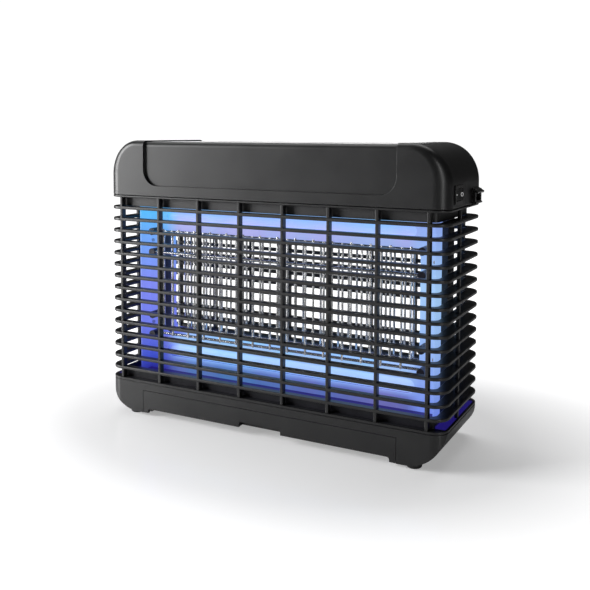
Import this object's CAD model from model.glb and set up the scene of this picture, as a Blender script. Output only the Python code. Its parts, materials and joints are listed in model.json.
"""Looks of the free-standing electric insect killer: bevelled shells, cage, lit chamber, lamps and grids,
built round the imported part."""

import json
import math

import bmesh
import bpy
from mathutils import Matrix, Vector

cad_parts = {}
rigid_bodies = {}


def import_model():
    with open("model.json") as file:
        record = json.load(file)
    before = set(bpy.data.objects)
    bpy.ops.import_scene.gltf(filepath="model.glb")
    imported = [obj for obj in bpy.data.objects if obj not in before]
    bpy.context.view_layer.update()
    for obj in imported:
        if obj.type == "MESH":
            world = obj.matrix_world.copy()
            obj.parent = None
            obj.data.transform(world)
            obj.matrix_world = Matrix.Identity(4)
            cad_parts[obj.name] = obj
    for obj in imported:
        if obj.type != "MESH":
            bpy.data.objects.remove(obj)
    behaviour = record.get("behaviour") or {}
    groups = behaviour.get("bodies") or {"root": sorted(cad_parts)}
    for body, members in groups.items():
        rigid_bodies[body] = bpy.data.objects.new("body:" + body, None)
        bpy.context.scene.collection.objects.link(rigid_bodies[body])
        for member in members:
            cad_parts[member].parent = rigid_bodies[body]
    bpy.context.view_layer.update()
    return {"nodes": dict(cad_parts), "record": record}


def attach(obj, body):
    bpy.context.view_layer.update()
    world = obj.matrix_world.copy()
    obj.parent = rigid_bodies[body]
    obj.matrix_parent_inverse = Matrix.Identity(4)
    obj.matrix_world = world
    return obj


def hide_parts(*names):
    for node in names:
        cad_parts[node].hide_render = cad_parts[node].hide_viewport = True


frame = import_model()
NODES = frame["nodes"]

X_OFF = -2.75
HW, HD = 167.5, 50.0
IX, IY = 157.5, 43.0


def mm(x, y, z):
    """A point of the housing in millimetres, in the row frame in metres."""
    return Vector(((x + X_OFF) / 1000.0, y / 1000.0, z / 1000.0))


# ------------------------------------------------------------------ materials
def principled(name):
    m = bpy.data.materials.new(name)
    m.use_nodes = True
    nt = m.node_tree
    nt.nodes.clear()
    out = nt.nodes.new("ShaderNodeOutputMaterial")
    b = nt.nodes.new("ShaderNodeBsdfPrincipled")
    nt.links.new(b.outputs[0], out.inputs[0])
    return m, nt, b


def coords(nt):
    return nt.nodes.new("ShaderNodeTexCoord").outputs["Object"]


def noise(nt, vec, scale, detail=2.0, rough=0.5, stretch=None):
    if stretch:
        mp = nt.nodes.new("ShaderNodeMapping")
        mp.inputs["Scale"].default_value = stretch
        nt.links.new(vec, mp.inputs["Vector"])
        vec = mp.outputs[0]
    n = nt.nodes.new("ShaderNodeTexNoise")
    n.inputs["Scale"].default_value = scale
    n.inputs["Detail"].default_value = detail
    n.inputs["Roughness"].default_value = rough
    nt.links.new(vec, n.inputs["Vector"])
    return n.outputs["Fac"]


def ramp(nt, fac, stops):
    r = nt.nodes.new("ShaderNodeValToRGB")
    cr = r.color_ramp
    while len(cr.elements) > 1:
        cr.elements.remove(cr.elements[-1])
    cr.elements[0].position = stops[0][0]
    cr.elements[0].color = tuple(stops[0][1]) + (1.0,)
    for p, c in stops[1:]:
        e = cr.elements.new(p)
        e.color = tuple(c) + (1.0,)
    nt.links.new(fac, r.inputs[0])
    return r.outputs[0]


def remap(nt, fac, a, b, lo, hi):
    r = nt.nodes.new("ShaderNodeMapRange")
    r.inputs[1].default_value = a
    r.inputs[2].default_value = b
    r.inputs[3].default_value = lo
    r.inputs[4].default_value = hi
    nt.links.new(fac, r.inputs[0])
    return r.outputs[0]


def bump(nt, bsdf, height, strength, distance):
    b = nt.nodes.new("ShaderNodeBump")
    b.inputs["Strength"].default_value = strength
    b.inputs["Distance"].default_value = distance
    nt.links.new(height, b.inputs["Height"])
    nt.links.new(b.outputs[0], bsdf.inputs["Normal"])


def plastic(name, dark, light, rough, grain=1700.0, depth=0.00003, strength=0.35, blotch=38.0, spec=0.5):
    """Moulded plastic: a faint cloudiness in the colour, a spark-eroded grain in the surface, slightly uneven gloss."""
    m, nt, b = principled(name)
    v = coords(nt)
    cloud = noise(nt, v, blotch, 3.0, 0.6)
    fine = noise(nt, v, grain, 2.0, 0.6)
    col = ramp(nt, cloud, [(0.3, dark), (0.7, light)])
    nt.links.new(col, b.inputs["Base Color"])
    nt.links.new(remap(nt, cloud, 0.25, 0.75, rough[0], rough[1]), b.inputs["Roughness"])
    b.inputs["Specular IOR Level"].default_value = spec
    bump(nt, b, fine, strength, depth)
    return m


def metal(name, dark, light, rough, stretch=(1.0, 1.0, 1.0), scale=900.0, metallic=1.0, strength=0.15):
    m, nt, b = principled(name)
    v = coords(nt)
    n = noise(nt, v, scale, 3.0, 0.6, stretch)
    nt.links.new(ramp(nt, n, [(0.3, dark), (0.7, light)]), b.inputs["Base Color"])
    nt.links.new(remap(nt, n, 0.25, 0.75, rough[0], rough[1]), b.inputs["Roughness"])
    b.inputs["Metallic"].default_value = metallic
    bump(nt, b, n, strength, 0.00002)
    return m


M = {}
M["black_plastic"] = plastic("black_plastic", (0.012, 0.012, 0.0125), (0.016, 0.016, 0.0165), (0.34, 0.40), 1500.0, 0.00003, 0.3)
M["grille_plastic"] = plastic("grille_plastic", (0.012, 0.012, 0.0125), (0.016, 0.016, 0.0165), (0.35, 0.41), 1500.0, 0.00003, 0.3)
M["dark_plastic"] = plastic("dark_plastic", (0.024, 0.024, 0.026), (0.034, 0.034, 0.036), (0.42, 0.52), 1300.0, 0.00003, 0.3)
M["floor_plastic"] = plastic("floor_plastic", (0.016, 0.016, 0.02), (0.024, 0.024, 0.03), (0.32, 0.42), 500.0, 0.00004, 0.25, spec=0.2)
deck_shader = M["floor_plastic"].node_tree.nodes["Principled BSDF"]
deck_shader.inputs["Emission Color"].default_value = (0.03, 0.018, 0.30, 1.0)
deck_nt = M["floor_plastic"].node_tree
deck_xyz = deck_nt.nodes.new("ShaderNodeSeparateXYZ")
deck_nt.links.new(coords(deck_nt), deck_xyz.inputs[0])
deck_y = deck_nt.nodes.new("ShaderNodeMath")
deck_y.operation = "ABSOLUTE"
deck_nt.links.new(deck_xyz.outputs["Y"], deck_y.inputs[0])
deck_in = deck_nt.nodes.new("ShaderNodeMath")
deck_in.operation = "MULTIPLY"
deck_nt.links.new(remap(deck_nt, deck_y.outputs[0], 0.0405, 0.0398, 0.0, 0.42), deck_in.inputs[0])
deck_nt.links.new(remap(deck_nt, deck_xyz.outputs["Z"], 0.0362, 0.0350, 0.0, 1.0), deck_in.inputs[1])
deck_nt.links.new(deck_in.outputs[0], deck_shader.inputs["Emission Strength"])
M["foot_rubber"] = plastic("foot_rubber", (0.010, 0.010, 0.010), (0.018, 0.018, 0.018), (0.6, 0.75), 900.0, 0.00006, 0.5)
M["switch_black"] = plastic("switch_black", (0.010, 0.010, 0.010), (0.015, 0.015, 0.015), (0.2, 0.28), 1500.0, 0.00001, 0.15)
M["holder_white"] = plastic("holder_white", (0.62, 0.62, 0.64), (0.72, 0.72, 0.73), (0.35, 0.45), 1200.0, 0.00003, 0.2)
M["circuit_board"] = plastic("circuit_board", (0.012, 0.085, 0.03), (0.03, 0.14, 0.05), (0.3, 0.45), 600.0, 0.00004, 0.4, blotch=260.0)
M["capacitor"] = plastic("capacitor", (0.26, 0.05, 0.018), (0.36, 0.08, 0.03), (0.2, 0.3), 400.0, 0.00006, 0.3)
M["wire_insulation"] = plastic("wire_insulation", (0.42, 0.42, 0.43), (0.52, 0.52, 0.53), (0.35, 0.45), 1200.0, 0.00003, 0.2)
M["mark_white"] = plastic("mark_white", (0.72, 0.72, 0.72), (0.8, 0.8, 0.8), (0.45, 0.55), 1500.0, 0.00001, 0.1)
marks_shader = M["mark_white"].node_tree.nodes["Principled BSDF"]
marks_shader.inputs["Emission Color"].default_value = (1.0, 1.0, 1.0, 1.0)
marks_shader.inputs["Emission Strength"].default_value = 0.35
M["wire_steel"] = metal("wire_steel", (0.60, 0.60, 0.60), (0.74, 0.74, 0.73), (0.18, 0.30), (1.0, 1.0, 0.08), 900.0)
M["screw_steel"] = metal("screw_steel", (0.42, 0.42, 0.43), (0.58, 0.58, 0.60), (0.28, 0.4), (1.0, 1.0, 1.0), 700.0)
M["cap_aluminium"] = metal("cap_aluminium", (0.55, 0.56, 0.58), (0.70, 0.71, 0.72), (0.28, 0.42), (0.1, 1.0, 1.0), 700.0)
M["insulator_dark"] = plastic("insulator_dark", (0.010, 0.010, 0.03), (0.016, 0.016, 0.04), (0.35, 0.45), 1200.0, 0.00003, 0.2)
M["brass"] = metal("brass", (0.50, 0.34, 0.11), (0.66, 0.48, 0.19), (0.25, 0.38), (1.0, 1.0, 1.0), 600.0)
M["winding"] = metal("winding", (0.26, 0.09, 0.03), (0.42, 0.17, 0.06), (0.25, 0.4), (0.05, 1.0, 1.0), 2500.0, 0.6, 0.6)


def axis_value(nt, v, axis):
    s = nt.nodes.new("ShaderNodeSeparateXYZ")
    nt.links.new(v, s.inputs[0])
    return s.outputs["XYZ".index(axis)]


def glow(name, base, z_stops, strength, rough=(0.4, 0.5)):
    """Translucent white plate that glows: the colour drifts along it and the glow falls off away from the lamps."""
    m, nt, b = principled(name)
    v = coords(nt)
    z = axis_value(nt, v, "Z")
    zz = remap(nt, z, 0.0335, 0.2095, 0.0, 1.0)
    col = ramp(nt, zz, z_stops)
    x = axis_value(nt, v, "X")
    left = ramp(nt, zz, [(0.0, (0.02, 0.02, 0.26)), (0.07, (0.05, 0.08, 0.55)), (0.25, (0.16, 0.20, 0.80)), (0.5, (0.22, 0.26, 0.86)), (0.75, (0.17, 0.40, 0.92)), (0.9, (0.10, 0.52, 0.95)), (1.0, (0.07, 0.16, 0.75))])
    right = ramp(nt, zz, [(0.0, (0.16, 0.25, 0.80)), (0.3, (0.30, 0.48, 0.90)), (0.6, (0.36, 0.60, 0.92)), (1.0, (0.24, 0.34, 0.86))])

    def blend(fac, c0, c1):
        k = nt.nodes.new("ShaderNodeMix")
        k.data_type = "RGBA"
        nt.links.new(fac, k.inputs[0])
        nt.links.new(c0, k.inputs[6])
        nt.links.new(c1, k.inputs[7])
        return k.outputs[2]

    cloud = noise(nt, v, 16.0, 2.0, 0.5, (1.0, 1.0, 0.6))
    tint = ramp(nt, cloud, [(0.35, (0.12, 0.55, 0.92)), (0.5, (0.25, 0.40, 0.92)), (0.66, (0.42, 0.42, 0.88))])
    k = nt.nodes.new("ShaderNodeMix")
    k.data_type = "RGBA"
    k.inputs[0].default_value = 0.3
    nt.links.new(col, k.inputs[6])
    nt.links.new(tint, k.inputs[7])
    mixed = blend(remap(nt, x, -0.118, -0.132, 0.0, 1.0), k.outputs[2], left)
    mixed = blend(remap(nt, x, 0.118, 0.130, 0.0, 1.0), mixed, right)
    nt.links.new(mixed, b.inputs["Emission Color"])
    b.inputs["Emission Strength"].default_value = strength
    fine = noise(nt, v, 900.0, 2.0, 0.6)
    nt.links.new(ramp(nt, fine, [(0.3, base), (0.7, tuple(min(1.0, c * 1.08) for c in base))]), b.inputs["Base Color"])
    nt.links.new(remap(nt, fine, 0.25, 0.75, rough[0], rough[1]), b.inputs["Roughness"])
    bump(nt, b, fine, 0.15, 0.00002)
    return m


M["reflector_white"] = glow(
    "reflector_white",
    (0.12, 0.15, 0.25),
    [(0.0, (0.015, 0.012, 0.20)), (0.06, (0.03, 0.03, 0.32)), (0.085, (0.22, 0.38, 0.88)), (0.14, (0.32, 0.58, 0.92)), (0.21, (0.38, 0.62, 0.92)), (0.5, (0.14, 0.42, 0.86)),
     (0.79, (0.42, 0.40, 0.76)), (0.86, (0.46, 0.44, 0.84)), (0.90, (0.32, 0.48, 0.92)), (0.94, (0.09, 0.60, 0.90)), (1.0, (0.06, 0.42, 0.86))],
    0.9,
)
M["lamp_glass"] = glow(
    "lamp_glass",
    (0.2, 0.24, 0.36),
    [(0.0, (0.20, 0.45, 0.95)), (0.1, (0.38, 0.62, 0.98)), (0.5, (0.42, 0.55, 0.95)), (0.84, (0.48, 0.48, 0.95)), (0.90, (0.26, 0.52, 0.98)),
     (0.95, (0.10, 0.62, 0.95)), (1.0, (0.08, 0.55, 0.92))],
    0.98,
    (0.25, 0.35),
)

SLOT_OF = {s["node"]: s["material_slot"] for s in frame["record"]["subparts"]}
BODY_OF = {n: b for b, ns in frame["record"]["behaviour"]["bodies"].items() for n in ns}


# ------------------------------------------------------------------ mesh helpers
def make(name, bm, material, smooth=True):
    me = bpy.data.meshes.new(name)
    bm.to_mesh(me)
    bm.free()
    me.materials.append(M[material])
    o = bpy.data.objects.new(name, me)
    bpy.context.scene.collection.objects.link(o)
    if smooth:
        me.shade_smooth()
    return o


def apply_all(o):
    """Bake o's modifiers into its mesh."""
    dg = bpy.context.evaluated_depsgraph_get()
    me = bpy.data.meshes.new_from_object(o.evaluated_get(dg), preserve_all_data_layers=True, depsgraph=dg)
    o.modifiers.clear()
    old = o.data
    o.data = me
    if old.users == 0:
        bpy.data.meshes.remove(old)
    return o


def bevel(o, width, segments=3, angle=32.0, apply=True, clamp=True):
    b = o.modifiers.new("bevel", "BEVEL")
    b.width = width / 1000.0
    b.segments = segments
    b.limit_method = "ANGLE"
    b.angle_limit = math.radians(angle)
    b.use_clamp_overlap = clamp
    b.harden_normals = False
    b.miter_outer = "MITER_ARC"
    b.miter_inner = "MITER_SHARP"
    w = o.modifiers.new("normals", "WEIGHTED_NORMAL")
    w.keep_sharp = False
    w.weight = 60
    if apply:
        apply_all(o)
    return o


def boolean(o, other, op):
    m = o.modifiers.new("bool", "BOOLEAN")
    m.operation = op
    m.solver = "EXACT"
    m.object = other
    apply_all(o)
    me = other.data
    bpy.data.objects.remove(other)
    bpy.data.meshes.remove(me)
    return o


def tidy(o, dist=0.00002, angle=0.8):
    bm = bmesh.new()
    bm.from_mesh(o.data)
    bmesh.ops.remove_doubles(bm, verts=bm.verts, dist=dist)
    bmesh.ops.dissolve_degenerate(bm, edges=bm.edges, dist=dist)
    if angle > 0:
        bmesh.ops.dissolve_limit(bm, angle_limit=math.radians(angle), verts=bm.verts, edges=bm.edges)
    bm.to_mesh(o.data)
    bm.free()
    o.data.shade_smooth()
    return o


def stand_in(o, *nodes, slot=None):
    """o replaces these CAD nodes and rides on their body."""
    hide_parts(*nodes)
    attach(o, BODY_OF[nodes[0]])
    return o


def softened(node, width, segments=3, angle=32.0, clamp=True, merge=True):
    """A copy of a CAD node with its sharp edges rounded, shown instead of it."""
    src = NODES[node]
    o = bpy.data.objects.new(node + "_rounded", src.data.copy())
    bpy.context.scene.collection.objects.link(o)
    o.data.materials.clear()
    o.data.materials.append(M[SLOT_OF[node]])
    for p in o.data.polygons:
        p.material_index = 0
    if o.data.has_custom_normals:
        bm = bmesh.new()
        bm.from_mesh(o.data)
        bm.to_mesh(o.data)
        bm.free()
        a = o.data.attributes.get("custom_normal")
        if a:
            o.data.attributes.remove(a)
    tidy(o, angle=0.8 if merge else 0.0)
    bevel(o, width, segments, angle, True, clamp)
    return stand_in(o, node)


def block(name, x0, x1, y0, y1, z0, z1, material="black_plastic"):
    bm = bmesh.new()
    v = [bm.verts.new(mm(x, y, z)) for z in (z0, z1) for y in (y0, y1) for x in (x0, x1)]
    for f in ((0, 2, 3, 1), (4, 5, 7, 6), (0, 1, 5, 4), (2, 6, 7, 3), (0, 4, 6, 2), (1, 3, 7, 5)):
        bm.faces.new([v[i] for i in f])
    return make(name, bm, material, False)


def prism(name, outline, a0, a1, axis, material="black_plastic"):
    """A closed solid from a 2-D outline: axis Y takes (x, z) pairs, axis Z (x, y) pairs, axis X (y, z) pairs."""
    put = {
        "Y": lambda p, t: mm(p[0], t, p[1]),
        "Z": lambda p, t: mm(p[0], p[1], t),
        "X": lambda p, t: mm(t, p[0], p[1]),
    }[axis]
    bm = bmesh.new()
    lo = [bm.verts.new(put(p, a0)) for p in outline]
    hi = [bm.verts.new(put(p, a1)) for p in outline]
    n = len(outline)
    for i in range(n):
        bm.faces.new((lo[i], lo[(i + 1) % n], hi[(i + 1) % n], hi[i]))
    bm.faces.new(lo)
    bm.faces.new(list(reversed(hi)))
    bmesh.ops.recalc_face_normals(bm, faces=bm.faces)
    return make(name, bm, material, False)


def arc(cx, cy, r, a0, a1, n):
    return [(cx + r * math.cos(math.radians(a0 + (a1 - a0) * i / n)), cy + r * math.sin(math.radians(a0 + (a1 - a0) * i / n))) for i in range(n + 1)]


def mound(name, hw, hd, z0, z1, r_end, r_plan, r_top, down=False, n_arc=40, n_sec=10, top_r_blend=1.0):
    """Closed solid with the outline of an arch seen from the front and rolled-over front and back edges.
    Upright corners have plan radius r_plan, and the roll tightens to r_top over the curved corners."""
    samples = [(-hw, z0, -1.0, 0.0, r_plan), (-hw, z1 - r_end, -1.0, 0.0, r_plan)]
    for i in range(1, n_arc + 1):
        a = math.radians(180 - 90 * i / n_arc)
        t = (i / n_arc) ** top_r_blend
        t = t * t * (3 - 2 * t)
        samples.append((-hw + r_end + r_end * math.cos(a), z1 - r_end + r_end * math.sin(a), math.cos(a), math.sin(a), r_plan + (r_top - r_plan) * t))
    samples += [(-x, z, -nx, nz, r) for x, z, nx, nz, r in reversed(samples)]
    bm = bmesh.new()
    rings = []
    for x, z, nx, nz, r in samples:
        ring = []
        prof = [(r * (1 - math.sin(p)), -hd + r * (1 - math.cos(p))) for p in [math.pi / 2 * k / n_sec for k in range(n_sec + 1)]]
        prof += [(i, -y) for i, y in reversed(prof)]
        for inset, y in prof:
            zz = z - nz * inset
            if down:
                zz = z0 + z1 - zz
            ring.append(bm.verts.new(mm(x - nx * inset, y, zz)))
        rings.append(ring)
    for a, b in zip(rings, rings[1:]):
        for k in range(len(a) - 1):
            bm.faces.new((a[k], b[k], b[k + 1], a[k + 1]))
    bm.faces.new([r[0] for r in reversed(rings)])
    bm.faces.new([r[-1] for r in rings])
    bm.faces.new(rings[0] + list(reversed(rings[-1])))
    bmesh.ops.recalc_face_normals(bm, faces=bm.faces)
    return make(name, bm, "black_plastic", False)


# ------------------------------------------------------------------ hood
def hood():
    hw, z0, top = HW, 209.5, 261.0
    body = mound("hood", hw, HD, z0, top, 33.0, 13.2, 5.6)
    u = [(-125.0, 300.0), (-125.0, 234.0)] + arc(-110.0, 234.0, 15.0, 180, 270, 14)[1:] + arc(110.0, 234.0, 15.0, 270, 360, 14)
    u += [(125.0, 300.0)]
    boolean(body, prism("cut", u, -60.0, 60.0, "Y"), "DIFFERENCE")
    yz = [(-47.4, 213.5)] + arc(-42.2, 254.6, 5.2, 180, 90, 10) + arc(42.2, 254.6, 5.2, 90, 0, 10) + [(47.4, 213.5)]
    boolean(body, prism("core", yz, -125.7, 125.7, "X"), "UNION")
    boolean(body, mound("cavity", hw - 2.4, 45.0, z0 - 1.0, 257.4, 30.6, 10.8, 3.0, n_arc=16, n_sec=4), "DIFFERENCE")
    plan = arc(-154.3, -36.8, 9.8, 180, 270, 8) + arc(154.3, -36.8, 9.8, 270, 360, 8) + arc(154.3, 36.8, 9.8, 0, 90, 8) + arc(-154.3, 36.8, 9.8, 90, 180, 8)
    boolean(body, prism("step", plan, z0 - 1.0, z0 + 3.0, "Z"), "DIFFERENCE")
    boolean(body, block("hole_switch", 155.0, 170.0, -32.6, -13.4, 213.6, 226.4), "DIFFERENCE")
    boolean(body, block("hole_inlet", 155.0, 170.0, 16.4, 35.6, 210.7, 221.1), "DIFFERENCE")
    tidy(body, 0.00001, 0.15)
    body.name = "hood_moulding"
    bevel(body, 0.7, 3, 33.0)
    body.data.materials.clear()
    body.data.materials.append(M["black_plastic"])
    for p in body.data.polygons:
        p.material_index = 0
    return stand_in(body, "hood_shell")


hood()

# ------------------------------------------------------------------ cage
def slat_outline(s, split=-8.0):
    """Half of a slat's plan outline: s = -1 the front half, s = 1 the back half."""
    r, ri = 13.2, 5.0
    y_in, x_in = IY, IX
    if s < 0:
        out = [(-HW, split)] + arc(-HW + r, -HD + r, r, 180, 270, 14) + arc(HW - r, -HD + r, r, 270, 360, 14) + [(HW, split)]
        inn = [(x_in, split)] + arc(x_in - ri, -y_in + ri, ri, 0, -90, 8) + arc(-x_in + ri, -y_in + ri, ri, -90, -180, 8) + [(-x_in, split)]
    else:
        out = [(HW, split)] + arc(HW - r, HD - r, r, 0, 90, 14) + arc(-HW + r, HD - r, r, 90, 180, 14) + [(-HW, split)]
        inn = [(-x_in, split)] + arc(-x_in + ri, y_in - ri, ri, 180, 90, 8) + arc(x_in - ri, y_in - ri, ri, 90, 0, 8) + [(x_in, split)]
    return out + inn


def cage(s, node):
    parts = []
    for i in range(15):
        z = 42.7 + 11.02 * i
        parts.append(bevel(prism("slat", slat_outline(s), z - 1.4, z + 1.4, "Z", "grille_plastic"), 0.75, 4, 40.0))
    parts.append(bevel(prism("lip", slat_outline(s), 207.1, 209.0, "Z", "grille_plastic"), 0.7, 3, 40.0))
    for i in range(8):
        x = -151.9 + 43.4 * i
        y0, y1 = (-HD + 0.5, -IY - 0.8) if s < 0 else (IY + 0.8, HD - 0.5)
        parts.append(bevel(block("bar", x - 1.4, x + 1.4, y0, y1, 33.5, 209.4, "grille_plastic"), 0.55, 3))
    for t in (-1, 1):
        x0, x1 = (-HW + 1.5, -HW + 4.6) if t < 0 else (HW - 4.6, HW - 1.5)
        y0, y1 = (-9.4, -8.0) if s < 0 else (-8.0, -6.6)
        parts.append(bevel(block("bar", x0, x1, y0, y1, 33.5, 209.4, "grille_plastic"), 0.4, 2))
    bpy.ops.object.select_all(action="DESELECT")
    for p in parts:
        p.select_set(True)
    bpy.context.view_layer.objects.active = parts[0]
    bpy.ops.object.join()
    o = parts[0]
    o.name = node + "_moulding"
    return stand_in(o, node)


cage(-1, "front_grille")
cage(1, "rear_grille")

# ------------------------------------------------------------------ softened CAD shells
for node, width, segments in (
    ("base_shell", 0.6, 3),
    ("base_deck", 0.4, 2),
    ("hood_deck", 0.4, 2),
    ("insect_tray", 0.55, 3),
    ("switch_body", 0.5, 3),
    ("switch_rocker", 0.45, 3),
    ("inlet_body", 0.4, 3),
    ("lamp_column_left", 0.4, 2),
    ("lamp_column_right", 0.4, 2),
    ("lamp_holders", 0.5, 3),
    ("front_reflector", 0.25, 2),
    ("rear_reflector", 0.25, 2),
    ("ballast_case", 0.25, 2),
    ("ballast_lid", 0.25, 2),
    ("feet", 0.4, 2),
):
    softened(node, width, segments, merge=node != "insect_tray")

# carried-over nodes get their finish
for n, o in NODES.items():
    if o.hide_render:
        continue
    o.data.materials.clear()
    o.data.materials.append(M[SLOT_OF[n]])
    for p in o.data.polygons:
        p.material_index = 0


# ------------------------------------------------------------------ marks on the rocker
def marks():
    px, py, pz = 164.1, -23.0, 220.0
    bm = bmesh.new()
    # ring on the raised half, whose face runs from (3.6, 0) to (6.64, 9)
    a = math.atan2(6.64 - 3.6, 9.0)

    def face(s, y, z, lift):
        """Point on the rocker's face: y along the face from the pivot, z up, lift off the face."""
        if s > 0:
            return mm(px + 3.6 + math.sin(a) * y + math.cos(a) * lift, py + math.cos(a) * y - math.sin(a) * lift, pz + z)
        b = math.atan2(3.6 - 3.17, 9.0)
        return mm(px + 3.6 - math.sin(b) * y + math.cos(b) * lift, py - math.cos(b) * y + math.sin(b) * lift, pz + z)

    n = 40
    prof = [(1.15, -0.02), (1.2, 0.09), (1.6, 0.09), (1.65, -0.02)]
    rings = []
    for i in range(n):
        t = 2 * math.pi * i / n
        rings.append([bm.verts.new(face(1, 4.6 + r * math.cos(t), r * math.sin(t), h)) for r, h in prof])
    for i in range(n):
        p, q = rings[i], rings[(i + 1) % n]
        for k in range(4):
            bm.faces.new((p[k], q[k], q[(k + 1) % 4], p[(k + 1) % 4]))
    lo = [bm.verts.new(face(-1, 4.5 + u, v, -0.02)) for u, v in ((-1.3, -0.4), (1.3, -0.4), (1.3, 0.4), (-1.3, 0.4))]
    hi = [bm.verts.new(face(-1, 4.5 + u, v, 0.09)) for u, v in ((-1.25, -0.35), (1.25, -0.35), (1.25, 0.35), (-1.25, 0.35))]
    bm.faces.new(lo)
    bm.faces.new(hi)
    for i in range(4):
        bm.faces.new((lo[i], lo[(i + 1) % 4], hi[(i + 1) % 4], hi[i]))
    bmesh.ops.recalc_face_normals(bm, faces=bm.faces)
    o = make("rocker_marks", bm, "mark_white", False)
    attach(o, "rocker")
    return o


marks()

# ------------------------------------------------------------------ stage
def stage_material():
    m, nt, b = principled("studio_floor")
    v = coords(nt)
    n = noise(nt, v, 3.0, 2.0, 0.5)
    nt.links.new(ramp(nt, n, [(0.3, (0.80, 0.80, 0.81)), (0.7, (0.83, 0.83, 0.84))]), b.inputs["Base Color"])
    nt.links.new(remap(nt, n, 0.25, 0.75, 0.16, 0.22), b.inputs["Roughness"])
    b.inputs["Specular IOR Level"].default_value = 0.35
    b.inputs["Emission Color"].default_value = (1.0, 1.0, 1.0, 1.0)
    far = nt.nodes.new("ShaderNodeVectorMath")
    far.operation = "LENGTH"
    squash = nt.nodes.new("ShaderNodeMapping")
    squash.inputs["Scale"].default_value = (0.8, 1.1, 1.0)
    nt.links.new(v, squash.inputs["Vector"])
    nt.links.new(squash.outputs[0], far.inputs[0])
    seen = remap(nt, far.outputs["Value"], 0.17, 0.36, FLOOR_GLOW[0], FLOOR_GLOW[1])
    path = nt.nodes.new("ShaderNodeLightPath")
    pick = nt.nodes.new("ShaderNodeMix")
    nt.links.new(path.outputs["Is Camera Ray"], pick.inputs[0])
    pick.inputs[2].default_value = FLOOR_FILL
    nt.links.new(seen, pick.inputs[3])
    nt.links.new(pick.outputs[0], b.inputs["Emission Strength"])
    return m


FLOOR_GLOW = (0.33, 1.0)
FLOOR_FILL = 0.03
M["studio_floor"] = stage_material()
bm = bmesh.new()
S = 6.0
bm.faces.new([bm.verts.new(p) for p in ((-S, -S, 0.0), (S, -S, 0.0), (S, S, 0.0), (-S, S, 0.0))])
floor = make("floor", bm, "studio_floor", False)

world = bpy.data.worlds.new("studio")
bpy.context.scene.world = world
world.use_nodes = True
nt = world.node_tree
nt.nodes.clear()
wout = nt.nodes.new("ShaderNodeOutputWorld")
lp = nt.nodes.new("ShaderNodeLightPath")
bg_cam = nt.nodes.new("ShaderNodeBackground")
bg_cam.inputs[0].default_value = (1.0, 1.0, 1.0, 1.0)
bg_cam.inputs[1].default_value = 1.05
bg = nt.nodes.new("ShaderNodeBackground")
bg.inputs[0].default_value = (1.0, 1.0, 1.0, 1.0)
bg.inputs[1].default_value = 0.03
mixs = nt.nodes.new("ShaderNodeMixShader")
nt.links.new(lp.outputs["Is Camera Ray"], mixs.inputs[0])
nt.links.new(bg.outputs[0], mixs.inputs[1])
nt.links.new(bg_cam.outputs[0], mixs.inputs[2])
nt.links.new(mixs.outputs[0], wout.inputs[0])


def area(name, where, at, size, power, color=(1.0, 1.0, 1.0), spread=180.0, diffuse=True, glossy=True):
    l = bpy.data.lights.new(name, "AREA")
    l.shape = "RECTANGLE"
    l.size, l.size_y = size
    l.energy = power
    l.color = color
    l.spread = math.radians(spread)
    o = bpy.data.objects.new(name, l)
    bpy.context.scene.collection.objects.link(o)
    o.location = where
    o.rotation_euler = (Vector(at) - Vector(where)).to_track_quat("-Z", "Y").to_euler()
    o.visible_camera = False
    o.visible_diffuse = diffuse
    o.visible_glossy = glossy
    return o


area("key_left", (-1.62, -0.98, 0.60), (-0.10, 0.0, 0.16), (1.0, 1.4), 58.0)
area("top_soft", (-0.4, 0.75, 2.1), (0.0, 0.0, 0.0), (2.4, 1.5), 26.0)
area("corner_strip", (1.3, -0.75, 0.5), (0.15, 0.0, 0.2), (0.10, 1.1), 5.0, diffuse=False)
back = area("back_card", (-1.55, 2.1, 0.42), (0.0, 0.0, 0.25), (2.0, 0.9), 24.0)
lit = bpy.data.collections.new("lit_from_behind")
for o in bpy.data.objects:
    if o.name.startswith("hood_moulding"):
        lit.objects.link(o)
back.light_linking.receiver_collection = lit

# ------------------------------------------------------------------ camera
YAW, PITCH, ROLL = math.radians(27.63), math.radians(3.69), math.radians(0.2)
cam_data = bpy.data.cameras.new("camera")
cam = bpy.data.objects.new("camera", cam_data)
bpy.context.scene.collection.objects.link(cam)
fwd = Vector((-math.sin(YAW) * math.cos(PITCH), math.cos(YAW) * math.cos(PITCH), -math.sin(PITCH)))
right = Vector((math.cos(YAW), math.sin(YAW), 0.0))
up = right.cross(fwd)
r2 = right * math.cos(ROLL) + up * math.sin(ROLL)
u2 = up * math.cos(ROLL) - right * math.sin(ROLL)
rot = Matrix((r2, u2, -fwd)).transposed().to_4x4()
cam.matrix_world = Matrix.Translation(mm(350.2, -652.5, 268.6)) @ rot
cam_data.sensor_width = 36.0
cam_data.sensor_fit = "HORIZONTAL"
cam_data.lens = 36.0 * 810.32 / 590.0
cam_data.shift_y = -0.1864
cam_data.clip_start = 0.01
cam_data.clip_end = 50.0
bpy.context.scene.camera = cam
bpy.context.scene.view_settings.view_transform = "Standard"
